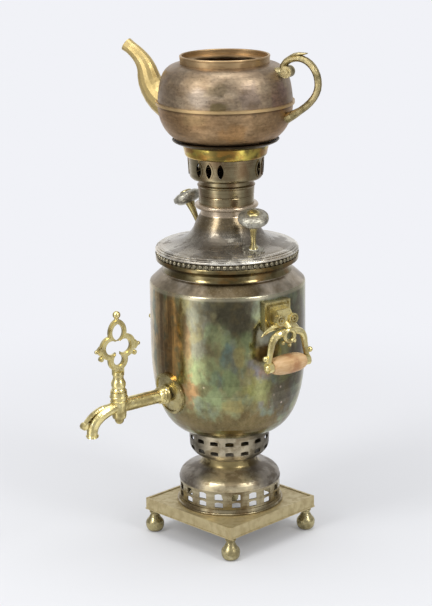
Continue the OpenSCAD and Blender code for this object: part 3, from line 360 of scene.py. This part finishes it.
# Colours that heat and age leave on the urn's brass, and painted light: the soot-dark tints at the front, turns -37 to
# -12, are a painted dark reflection, the pewter tints at turn -59 are a painted reflection of the left lamp, and the
# sand tint at turn -116 is a painted highlight on the left edge
SOOT_AND_DARK_REFLECTION = tone(90, 85, 68)
SMOKE = tone(115, 105, 90)
BARK = tone(124, 107, 74)
PEWTER_AND_LAMP_REFLECTION = tone(136, 136, 120)
STEEL = tone(118, 140, 132)
PLUM = tone(112, 104, 114)
ROSE = tone(148, 112, 100)
MOSS = tone(142, 156, 110)
SAGE = tone(160, 173, 124)
LEAF = tone(152, 152, 88)
STRAW = tone(172, 158, 102)
COPPER = tone(178, 132, 88)
TAN = tone(184, 151, 104)
AMBER = tone(232, 180, 108)
SAND_HIGHLIGHT = tone(214, 190, 146)

# Turn, height, half width in degrees, half height, strength and colour of each tint on the urn; some of them are
# painted reflections and a painted highlight, as told above
URN_TINTS_AND_PAINTED_LIGHT = (
    (-37, 0.249, 15, 0.018, 0.95, SOOT_AND_DARK_REFLECTION), (-24, 0.238, 10, 0.014, 0.90, SOOT_AND_DARK_REFLECTION), (-16, 0.226, 7, 0.010, 0.80, SOOT_AND_DARK_REFLECTION),
    (-59, 0.252, 10, 0.022, 0.80, PEWTER_AND_LAMP_REFLECTION), (-25, 0.256, 5, 0.010, 0.60, SMOKE), (-46, 0.230, 9, 0.015, 0.60, SAGE),
    (-26, 0.222, 7, 0.014, 0.60, MOSS), (-59, 0.214, 7, 0.011, 0.70, PEWTER_AND_LAMP_REFLECTION), (-39, 0.208, 6, 0.012, 0.70, STEEL),
    (-31, 0.208, 4, 0.012, 0.70, STRAW), (-54, 0.199, 10, 0.013, 0.60, SAGE), (-19, 0.197, 6, 0.014, 0.70, PLUM),
    (-10, 0.192, 7, 0.009, 0.65, ROSE), (-27, 0.180, 8, 0.018, 0.60, STRAW), (-47, 0.184, 7, 0.009, 0.70, STEEL),
    (-62, 0.186, 9, 0.014, 0.60, MOSS), (-51, 0.166, 11, 0.013, 0.80, SAGE), (-15, 0.171, 11, 0.018, 0.70, LEAF),
    (-68, 0.170, 7, 0.016, 0.80, COPPER), (-69, 0.214, 3, 0.022, 0.50, COPPER), (-74, 0.226, 4, 0.044, 0.80, BARK),
    (-84, 0.224, 8, 0.046, 0.90, AMBER), (-96, 0.240, 10, 0.034, 0.75, TAN), (-98, 0.196, 8, 0.030, 0.60, TAN),
    (9, 0.158, 13, 0.030, 0.85, SMOKE), (28, 0.222, 16, 0.044, 0.80, SMOKE), (-12, 0.210, 7, 0.020, 0.85, SOOT_AND_DARK_REFLECTION),
    (-11, 0.236, 8, 0.014, 0.80, PEWTER_AND_LAMP_REFLECTION), (-38, 0.134, 70, 0.016, 0.90, BARK), (-31, 0.243, 9, 0.012, 0.80, SOOT_AND_DARK_REFLECTION),
    (-116, 0.215, 10, 0.060, 0.70, SAND_HIGHLIGHT), (-37, 0.184, 7, 0.016, 0.75, MOSS), (-52, 0.182, 8, 0.012, 0.60, SAGE),
    (34, 0.190, 20, 0.030, 0.75, SMOKE), (-20, 0.152, 12, 0.010, 0.60, BARK), (-58, 0.176, 6, 0.008, 0.60, BARK),
    (-34, 0.258, 30, 0.010, 0.60, SOOT_AND_DARK_REFLECTION), (-34, 0.158, 8, 0.008, 0.60, STRAW),
    (72, 0.196, 14, 0.022, 0.60, MOSS), (98, 0.236, 16, 0.020, 0.70, SOOT_AND_DARK_REFLECTION), (116, 0.168, 14, 0.014, 0.60, COPPER),
    (138, 0.206, 16, 0.024, 0.60, STRAW), (160, 0.240, 12, 0.022, 0.70, PEWTER_AND_LAMP_REFLECTION), (176, 0.188, 14, 0.018, 0.65, STEEL),
    (-160, 0.224, 14, 0.030, 0.70, SOOT_AND_DARK_REFLECTION), (-142, 0.176, 12, 0.016, 0.60, LEAF), (142, 0.134, 76, 0.014, 0.80, BARK),
)


def paint_urn(t):
    """The urn's wall: soft tints of heat and age, with painted reflections and a painted highlight among them, under
    fine mottling, pits, chips and hair scratches.
    """
    cloud = t.effect(PATCHES, Scale=15.0, Stretch=0.6, Seed=4.0)["Cloud"]
    fine = t.effect(PATCHES, Scale=52.0, Stretch=0.6, Seed=8.0)["Cloud"]
    grain = t.effect(PATCHES, Scale=240.0, Stretch=0.7, Seed=3.0)["Cloud"]
    film = t.math("MULTIPLY_ADD", t.math("SUBTRACT", cloud, 0.5), 2.6, 0.62)
    colour = t.mix(0.6, t.effect(FILM, Thickness=film)["Color"], tone(150, 145, 114))
    # Lays the tints, among them a painted dark reflection at the front, a painted lamp reflection and a painted
    # highlight on the left edge
    colour = add_spots(t, colour, URN_TINTS_AND_PAINTED_LIGHT, 2.6, 100.0)
    stain = t.effect(PATCHES, Scale=95.0, Stretch=0.8, Low=0.50, High=0.62, Seed=21.0)["Mask"]
    colour = t.cover(colour, stain, 0.35, tone(118, 104, 70))
    streak = t.effect(PATCHES, Scale=90.0, Stretch=0.05, Low=0.42, High=0.55, Seed=2.0)["Mask"]
    flank = t.effect(SPOT, Turn=-94.0, Height=0.222, Wide=24.0, Tall=0.07, Ragged=0.5, Grain=30.0)["Mask"]
    colour = t.cover(colour, t.math("MULTIPLY", streak, flank), 0.75, tone(104, 80, 50))
    top = t.effect(PATCHES, Scale=34.0, Low=0.35, High=0.6, Seed=11.0)["Mask"]
    height_now = t.height()
    shoulder = t.span(height_now, SHOULDER_Z, SHOULDER_Z + 0.002)
    above = t.mix(top, tone(190, 178, 160), tone(142, 128, 106))
    burnt = t.effect(SPOT, Turn=-34.0, Height=0.272, Wide=26.0, Tall=0.03, Ragged=1.4, Grain=60.0)["Mask"]
    above = t.cover(above, burnt, 0.9, tone(66, 54, 32))
    colour = t.mix(shoulder, colour, above)
    mottle = t.total(0.0, (grain, 0.9), (fine, 1.1))
    colour = t.shade(colour, mottle)
    rim = t.span(height_now, SHOULDER_Z - 0.0035, SHOULDER_Z - 0.001)
    edge = t.math("MULTIPLY", rim, t.math("SUBTRACT", 1.0, shoulder))
    colour = t.cover(colour, edge, 0.6, tone(206, 196, 168))
    specks = t.effect(PITS, Scale=620.0, Share=0.16, Size=0.3)["Mask"]
    colour = t.cover(colour, specks, 0.45, tone(60, 52, 38))
    pits = t.effect(PITS, Scale=120.0, Share=0.07, Size=0.17)["Mask"]
    colour = t.cover(colour, pits, 0.75, tone(206, 190, 160))
    chips = t.effect(PITS, Scale=240.0, Share=0.5, Size=0.42)["Mask"]
    chipped = t.effect(SPOT, Turn=3.0, Height=0.160, Wide=7.0, Tall=0.014, Ragged=1.6, Grain=120.0)["Mask"]
    colour = t.mix(t.math("MULTIPLY", chips, chipped), colour, tone(220, 200, 184))
    hair = t.effect(SCRATCHES, Scale=14.0, Width=0.005)["Mask"]
    colour = t.cover(colour, hair, 0.25, tone(198, 190, 160))
    lines = t.effect(TURNING, Fineness=260.0, Wander=10.0)["Lines"]
    dents = t.effect(PATCHES, Scale=16.0, Seed=5.0)["Cloud"]
    return {"colour": colour, "rough": t.total(0.06, (lines, 0.05), (fine, 0.10), (grain, 0.12), (shoulder, 0.12)),
            "height": t.total(0.0, (fine, 0.10), (pits, -0.12), (dents, 1.0)), "depth": 0.0007}


# Turn, height, half width in degrees, half height, strength and colour of each tint on the pot. Among them, the light
# spot at turn -61 is a painted highlight, and the dark spots at turns -18 and 14 are painted shade laid over the
# lamps' highlights
POT_STAINS_AND_PAINTED_LIGHT = (
    (-61, 0.458, 10, 0.010, 0.75, tone(164, 150, 134)), (-18, 0.457, 12, 0.014, 0.75, tone(116, 102, 92)),
    (-43, 0.450, 8, 0.005, 0.75, tone(108, 96, 62)), (-40, 0.462, 14, 0.006, 0.75, tone(196, 176, 150)),
    (-30, 0.424, 14, 0.010, 0.75, tone(172, 134, 90)), (-45, 0.466, 10, 0.006, 0.75, tone(132, 116, 90)),
    (-66, 0.437, 14, 0.007, 0.75, tone(150, 126, 90)), (14, 0.455, 12, 0.014, 0.75, tone(140, 114, 104)),
)


def paint_pot(t):
    """Old tinned copper: lilac brown above the seam, warmer below, dull and stained, with a painted highlight and
    painted shade on the upper shell, and a bright seam.
    """
    height_now = t.height()
    cloud = t.effect(PATCHES, Scale=16.0, Stretch=2.2, Low=0.36, High=0.64, Seed=7.0)["Mask"]
    stain = t.effect(PATCHES, Scale=46.0, Stretch=1.8, Low=0.46, High=0.66, Seed=1.0)["Mask"]
    grain = t.effect(PATCHES, Scale=300.0, Stretch=1.6, Seed=3.0)["Cloud"]
    upper = t.mix(cloud, tone(162, 144, 120), tone(146, 126, 104))
    lower = t.mix(cloud, tone(168, 140, 106), tone(160, 128, 92))
    colour = t.mix(t.span(height_now, SEAM_Z + 0.001, SEAM_Z - 0.001), upper, lower)
    # Lays the tints, among them a painted highlight and painted shade over the lamps' highlights
    colour = add_spots(t, colour, POT_STAINS_AND_PAINTED_LIGHT, 1.6, 110.0)
    colour = t.cover(colour, stain, 0.4, tone(112, 92, 64))
    brushed = t.effect(TURNING, Fineness=420.0, Wander=24.0, Seed=9.0)["Lines"]
    blotch = t.effect(PATCHES, Scale=110.0, Stretch=2.4, Seed=15.0)["Cloud"]
    mottle = t.total(-0.06, (blotch, 0.8), (brushed, 0.4), (grain, 1.0))
    colour = t.shade(colour, mottle)
    specks = t.effect(PITS, Scale=420.0, Share=0.22, Size=0.32)["Mask"]
    colour = t.cover(colour, specks, 0.5, tone(70, 54, 38))
    away = t.math("ABSOLUTE", t.math("SUBTRACT", height_now, SEAM_Z))
    colour = t.cover(colour, t.span(away, 0.0017, 0.0011), 0.8, tone(214, 184, 134))
    under = t.math("MULTIPLY", t.span(height_now, SEAM_Z - 0.0044, SEAM_Z - 0.0022),
                   t.span(height_now, SEAM_Z - 0.0014, SEAM_Z - 0.0018))
    colour = t.cover(colour, under, 0.55, tone(70, 54, 36))
    brim = t.mix(stain, tone(188, 160, 120), tone(150, 124, 90))
    colour = t.mix(t.span(height_now, BRIM_Z, BRIM_Z + SHARP), colour, brim)
    lines = t.effect(TURNING, Fineness=700.0, Seed=7.0)["Lines"]
    return {"colour": colour, "rough": t.total(0.31, (grain, 0.2), (stain, 0.12)),
            "height": t.total(0.0, (lines, 0.3), (grain, 0.6), (cloud, 2.0)), "depth": 0.00012}


def paint_gold(t):
    """The throat and the crown's cup: bright gold where clean, olive and orange where burnt."""
    height_now = t.height()
    burnt = t.effect(PATCHES, Scale=52.0, Low=0.42, High=0.58, Seed=4.0)["Mask"]
    edge = t.effect(PATCHES, Scale=60.0, Stretch=1.6, Low=0.46, High=0.6, Seed=9.0)["Mask"]
    cup = t.mix(burnt, tone(218, 198, 100), tone(122, 106, 58))
    cup = t.cover(cup, edge, 0.45, tone(206, 146, 70))
    throat = t.mix(burnt, tone(134, 122, 88), tone(98, 86, 56))
    throat = t.cover(throat, edge, 0.6, tone(140, 106, 60))
    lines = t.effect(TURNING, Fineness=700.0, Seed=4.0)["Lines"]
    colour = t.mix(t.span(height_now, CROWN_Z, CROWN_Z + SHARP), throat, cup)
    return {"colour": colour, "rough": t.math("MULTIPLY_ADD", burnt, 0.12, 0.14), "height": lines, "depth": 0.00003}


# Turn and half width in degrees of each dark blot on the lid
LID_BLOTS = ((-41.0, 8.0), (-60.0, 12.0), (-94.0, 7.0), (-12.0, 5.0))


def paint_lid(t):
    """The lid, its beads and the ring above: grey brown, painted lighter at the foot as a painted reflection, with
    sharp dark stains.
    """
    height_now = t.height()
    cloud = t.effect(PATCHES, Scale=24.0, Stretch=1.4, Low=0.38, High=0.62, Seed=5.0)["Mask"]
    stain = t.effect(PATCHES, Scale=46.0, Stretch=1.4, Low=0.53, High=0.555, Seed=13.0)["Mask"]
    grain = t.effect(PATCHES, Scale=260.0, Seed=3.0)["Cloud"]
    cone = t.mix(cloud, tone(136, 130, 118), tone(116, 108, 96))
    # The foot is painted much lighter than the cone, a painted reflection of the bright room on the flat
    foot = t.mix(cloud, tone(244, 240, 228), tone(222, 212, 194))
    colour = t.mix(t.span(height_now, LID_Z + 0.017, LID_Z + 0.0065), cone, foot)
    colour = t.cover(colour, stain, 0.5, tone(92, 82, 68))
    for turn, wide in LID_BLOTS:
        blot = t.effect(SPOT, Turn=turn, Height=BLOT_Z, Wide=wide, Tall=0.0035, Ragged=1.6, Grain=90.0)["Mask"]
        colour = t.cover(colour, t.span(blot, 0.3, 0.6), 0.5, tone(96, 86, 74))
    colour = t.mix(t.span(height_now, LID_Z + 0.024, LID_Z + 0.034), colour, tone(112, 98, 74))
    colour = t.mix(t.span(height_now, LID_Z + 0.0420, LID_Z + 0.0425), colour, tone(186, 168, 144))
    colour = t.mix(t.span(height_now, BEAD_TOP + 0.0004, BEAD_TOP), colour, tone(138, 130, 108))
    mottle = t.math("MULTIPLY_ADD", grain, 0.7, 0.65)
    colour = t.shade(colour, mottle)
    hair = t.effect(SCRATCHES, Scale=22.0, Width=0.008)["Mask"]
    colour = t.cover(colour, hair, 0.25, tone(206, 200, 186))
    lines = t.effect(TURNING, Fineness=900.0, Seed=5.0)["Lines"]
    return {"colour": colour, "rough": t.total(0.19, (grain, 0.14), (stain, 0.12)),
            "height": t.total(0.0, (lines, 0.3), (cloud, 1.2)), "depth": 0.00008, "metallic": 0.78}


def paint_wood(t):
    """Bare turned hardwood with its grain along the grip and a rubbed brown middle."""
    place = t.node("ShaderNodeSeparateXYZ", {"Vector": t.place()}).outputs
    point = t.vector("MULTIPLY", t.place(), (140.0, 16.0, 140.0))
    noise = t.node("ShaderNodeTexNoise", {"Vector": point, "Scale": 3.0, "Detail": 4.0, "Roughness": 0.65})
    grain = noise.outputs["Fac"]
    middle = t.span(t.math("ABSOLUTE", t.math("ADD", place["Y"], 0.002)), 0.011, 0.003)
    cloud = t.effect(PATCHES, Scale=90.0, Low=0.38, High=0.6)["Mask"]
    colour = t.mix(t.span(grain, 0.3, 0.7), tone(222, 188, 142), tone(200, 158, 106))
    colour = t.cover(colour, t.math("MULTIPLY", middle, cloud), 0.65, tone(158, 98, 50))
    return {"colour": colour, "rough": 0.45, "metallic": 0.0, "height": grain, "depth": 0.00008}


# Turn of the side on which the dome and the upper gallery carry a painted reflection, painted lighter there
PAINTED_REFLECTION_TURN = -40.0


def paint_dome(t):
    """The pedestal: a dark golden neck over a grey, stained shoulder, and the gallery above; the dome and the gallery
    carry a painted reflection, lighter on one side.
    """
    height_now = t.height()
    cloud = t.effect(PATCHES, Scale=66.0, Stretch=1.3, Low=0.44, High=0.58, Seed=3.0)["Mask"]
    grain = t.effect(PATCHES, Scale=230.0, Seed=6.0)["Cloud"]
    # A painted reflection: the dome and the gallery are painted lighter on the side towards the camera
    front = t.effect(SPOT, Turn=PAINTED_REFLECTION_TURN, Height=0.07, Wide=38.0, Tall=0.2, Ragged=0.6, Grain=40.0)["Mask"]
    dome = t.mix(front, t.mix(cloud, tone(142, 134, 122), tone(112, 102, 88)),
                 t.mix(cloud, tone(204, 190, 156), tone(154, 138, 108)))
    neck = t.mix(cloud, tone(150, 134, 92), tone(86, 72, 42))
    gallery = t.mix(front, t.mix(cloud, tone(122, 114, 98), tone(92, 84, 66)),
                    t.mix(cloud, tone(190, 178, 152), tone(150, 136, 110)))
    colour = t.mix(t.span(height_now, NECK_Z, NECK_Z + 0.003), dome, neck)
    colour = t.mix(t.span(height_now, GALLERY_Z, GALLERY_Z + SHARP), colour, gallery)
    mottle = t.math("MULTIPLY_ADD", grain, 0.8, 0.6)
    colour = t.shade(colour, mottle)
    lines = t.effect(TURNING, Fineness=700.0, Seed=3.0)["Lines"]
    return {"colour": colour, "rough": t.total(0.24, (grain, 0.14), (cloud, 0.1)),
            "height": t.math("MULTIPLY_ADD", cloud, 1.5, lines), "depth": 0.00005, "metallic": 0.78}


FINISHES = {
    "plate_brass": spun_metal(tone(176, 158, 116), tone(190, 174, 130), tone(204, 190, 148), 0.34, 160.0, 60.0,
                              0.2, 1.0, metallic=0.6),
    "foot_brass": worn_metal(tone(122, 110, 76), tone(184, 172, 128), tone(206, 196, 156), 0.24, 110.0, 0.00004,
                             metallic=0.85),
    "base_brass": spun_metal(tone(96, 76, 46), tone(150, 138, 106), tone(184, 172, 142), 0.16, 60.0, 500.0, 0.2, 2.0),
    "dome_brass": paint_dome,
    "urn_brass": paint_urn,
    "gold_brass": paint_gold,
    "lid_nickel": paint_lid,
    "cast_brass": worn_metal(tone(136, 118, 70), tone(236, 220, 156), tone(250, 238, 188), 0.2, 90.0, 0.00006,
                             420.0, 0.2, metallic=0.86, wall_darkening=0.4),
    "knob_metal": worn_metal(tone(106, 100, 90), tone(188, 184, 168), tone(214, 210, 196), 0.34, 150.0, 0.0002,
                             300.0, 0.3, metallic=0.85),
    "crown_brass": spun_metal(tone(112, 84, 58), tone(140, 128, 98), tone(166, 154, 122), 0.13, 60.0, 900.0, 0.2, 6.0),
    "tray_brass": worn_metal(tone(48, 42, 34), tone(88, 78, 62), tone(120, 108, 86), 0.35, 40.0),
    "grate_iron": worn_metal(tone(30, 27, 24), tone(52, 48, 44), tone(80, 72, 64), 0.6, 50.0),
    "pot_copper": paint_pot,
    "spout_brass": worn_metal(tone(158, 138, 88), tone(204, 180, 120), tone(220, 200, 146), 0.40, 34.0, 0.00003,
                              500.0, 0.12, metallic=0.75),
    "grab_brass": worn_metal(tone(104, 94, 64), tone(186, 170, 124), tone(214, 202, 158), 0.34, 110.0, 0.00016,
                             700.0, 0.5),
    "grip_wood": paint_wood,
}

MATERIALS = {slot: metal(slot, paint) for slot, paint in FINISHES.items()}


def dress_nodes():
    """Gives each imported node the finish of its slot."""
    slot_of = {part["node"]: part["material_slot"] for part in frame["record"]["subparts"]}
    for name, piece in frame["nodes"].items():
        piece.data.materials.clear()
        piece.data.materials.append(MATERIALS[slot_of[name]])


dress_nodes()


# ---- Studio ----
BACKDROP = tone(241, 242, 247)
FLOOR_RADIUS = 9.0
FLOOR_SIDES = 64
FLOOR_TONE = tone(219, 220, 223)
# Reach from the axis over which the floor fades to the backdrop, as the eye and as the metal see it
FLOOR_FADE = (0.2, 0.8)
FLOOR_SEEN_FADE = (0.12, 0.5)
# How much the floor is lifted towards the backdrop right under the object
FLOOR_LIFT = 0.15
CEILING = (0.42, 0.42, 0.43, 1.0)
CEILING_RISE = (0.35, 0.75)
# Soft light on the floor, by how far a direction is turned to the front
AMBIENT = ((0.0, (0.95, 0.95, 0.95, 1.0)), (0.45, (0.8, 0.8, 0.8, 1.0)), (0.8, (0.36, 0.36, 0.37, 1.0)),
           (1.0, (0.24, 0.24, 0.25, 1.0)))
# Name, turn and rise in degrees, distance, width, height and power of each lamp
LAMPS = (("left_window", -50, 40, 1.7, 0.42, 0.8, 11), ("right_window", 48, 38, 1.7, 0.38, 0.7, 7.5),
         ("overhead", 0, 84, 1.6, 1.2, 1.2, 10))

# What the metal sees round about, by the turn from the camera: dark in front, lamps to both sides,
# a dark flank and the white sweep behind
ROOM = ((-180, 1.00), (-150, 0.95), (-128, 0.50), (-104, 0.24), (-74, 0.38), (-63, 0.90), (-51, 2.30), (-40, 1.10),
        (-28, 0.56), (0, 0.44), (24, 0.48), (34, 0.80), (44, 1.40), (54, 0.80), (66, 0.45), (100, 0.30),
        (126, 0.42), (150, 0.80), (180, 1.00))
ROOM_PEAK = 2.4
ROOM_BLUE = 1.02


def room_light(t, way):
    """The level of the room in a direction, or towards a place, given as a vector."""
    front, right = heading(CAMERA_TURN, 0.0), heading(CAMERA_TURN + math.pi / 2, 0.0)
    turn = t.math("ARCTAN2", t.vector("DOT_PRODUCT", way, tuple(right)), t.vector("DOT_PRODUCT", way, tuple(front)))
    share = t.ramp(t.math("MULTIPLY_ADD", turn, 0.5 / math.pi, 0.5),
                   [(0.5 + angle / 360.0, (level / ROOM_PEAK,) * 3 + (1.0,)) for angle, level in ROOM])
    return t.vector("MULTIPLY", share, (ROOM_PEAK, ROOM_PEAK, ROOM_PEAK * ROOM_BLUE))


def make_floor():
    mesh = bpy.data.meshes.new("floor")
    turns = [k * math.tau / FLOOR_SIDES for k in range(FLOOR_SIDES)]
    around = [(math.cos(turn) * FLOOR_RADIUS, math.sin(turn) * FLOOR_RADIUS, 0.0) for turn in turns]
    mesh.from_pydata(around, [], [list(range(FLOOR_SIDES))])
    floor = bpy.data.objects.new("floor", mesh)
    bpy.context.scene.collection.objects.link(floor)
    made = bpy.data.materials.new("floor_paper")
    made.use_nodes = True
    t = Tree(made.node_tree)
    made.node_tree.nodes.clear()
    mirrored = t.node("ShaderNodeLightPath").outputs["Is Glossy Ray"]
    near = t.node("ShaderNodeBsdfDiffuse", {"Color": FLOOR_TONE}).outputs[0]
    far = t.node("ShaderNodeEmission", {"Color": t.mix(mirrored, BACKDROP, room_light(t, t.place()))}).outputs[0]
    reach = t.vector("LENGTH", t.place())
    fade = t.node("ShaderNodeMix", {"Factor": mirrored, "A": t.span(reach, *FLOOR_FADE, FLOOR_LIFT),
                                    "B": t.span(reach, *FLOOR_SEEN_FADE)}).outputs[0]
    both = t.node("ShaderNodeMixShader", {"Fac": fade})
    t.put(both.inputs[1], near)
    t.put(both.inputs[2], far)
    t.node("ShaderNodeOutputMaterial", {"Surface": both.outputs[0]})
    mesh.materials.append(made)


def make_world():
    """A pale room: white as the camera sees it, soft white on the floor, and uneven in the metal."""
    world = bpy.data.worlds.new("studio")
    bpy.context.scene.world = world
    world.use_nodes = True
    t = Tree(world.node_tree)
    world.node_tree.nodes.clear()
    way = t.node("ShaderNodeTexCoord").outputs["Generated"]
    front = heading(CAMERA_TURN, 0.1)
    facing = t.vector("DOT_PRODUCT", t.vector("NORMALIZE", way), tuple(front))
    level = t.ramp(t.math("MULTIPLY_ADD", facing, 0.5, 0.5), AMBIENT)
    upward = t.node("ShaderNodeSeparateXYZ", {"Vector": t.vector("NORMALIZE", way)}).outputs["Z"]
    mirrored = t.mix(t.span(upward, *CEILING_RISE), room_light(t, way), CEILING)
    rays = t.node("ShaderNodeLightPath").outputs
    seen = t.mix(rays["Is Glossy Ray"], level, mirrored)
    room = t.node("ShaderNodeBackground", {"Color": t.mix(rays["Is Camera Ray"], seen, BACKDROP), "Strength": 1.0})
    t.node("ShaderNodeOutputWorld", {"Surface": room.outputs[0]})


def soft_box(name, turn, rise, distance, wide, tall, power):
    lamp = bpy.data.lights.new(name, "AREA")
    lamp.shape = "RECTANGLE"
    lamp.size, lamp.size_y, lamp.energy = wide, tall, power
    box = bpy.data.objects.new(name, lamp)
    back = heading(CAMERA_TURN + math.radians(turn), math.radians(rise))
    box.matrix_world = Matrix.Translation(AIM + back * distance) @ back.to_track_quat("Z", "Y").to_matrix().to_4x4()
    bpy.context.scene.collection.objects.link(box)


make_floor()
make_world()
for lamp_settings in LAMPS:
    soft_box(*lamp_settings)

bpy.context.scene.view_settings.view_transform = "Standard"
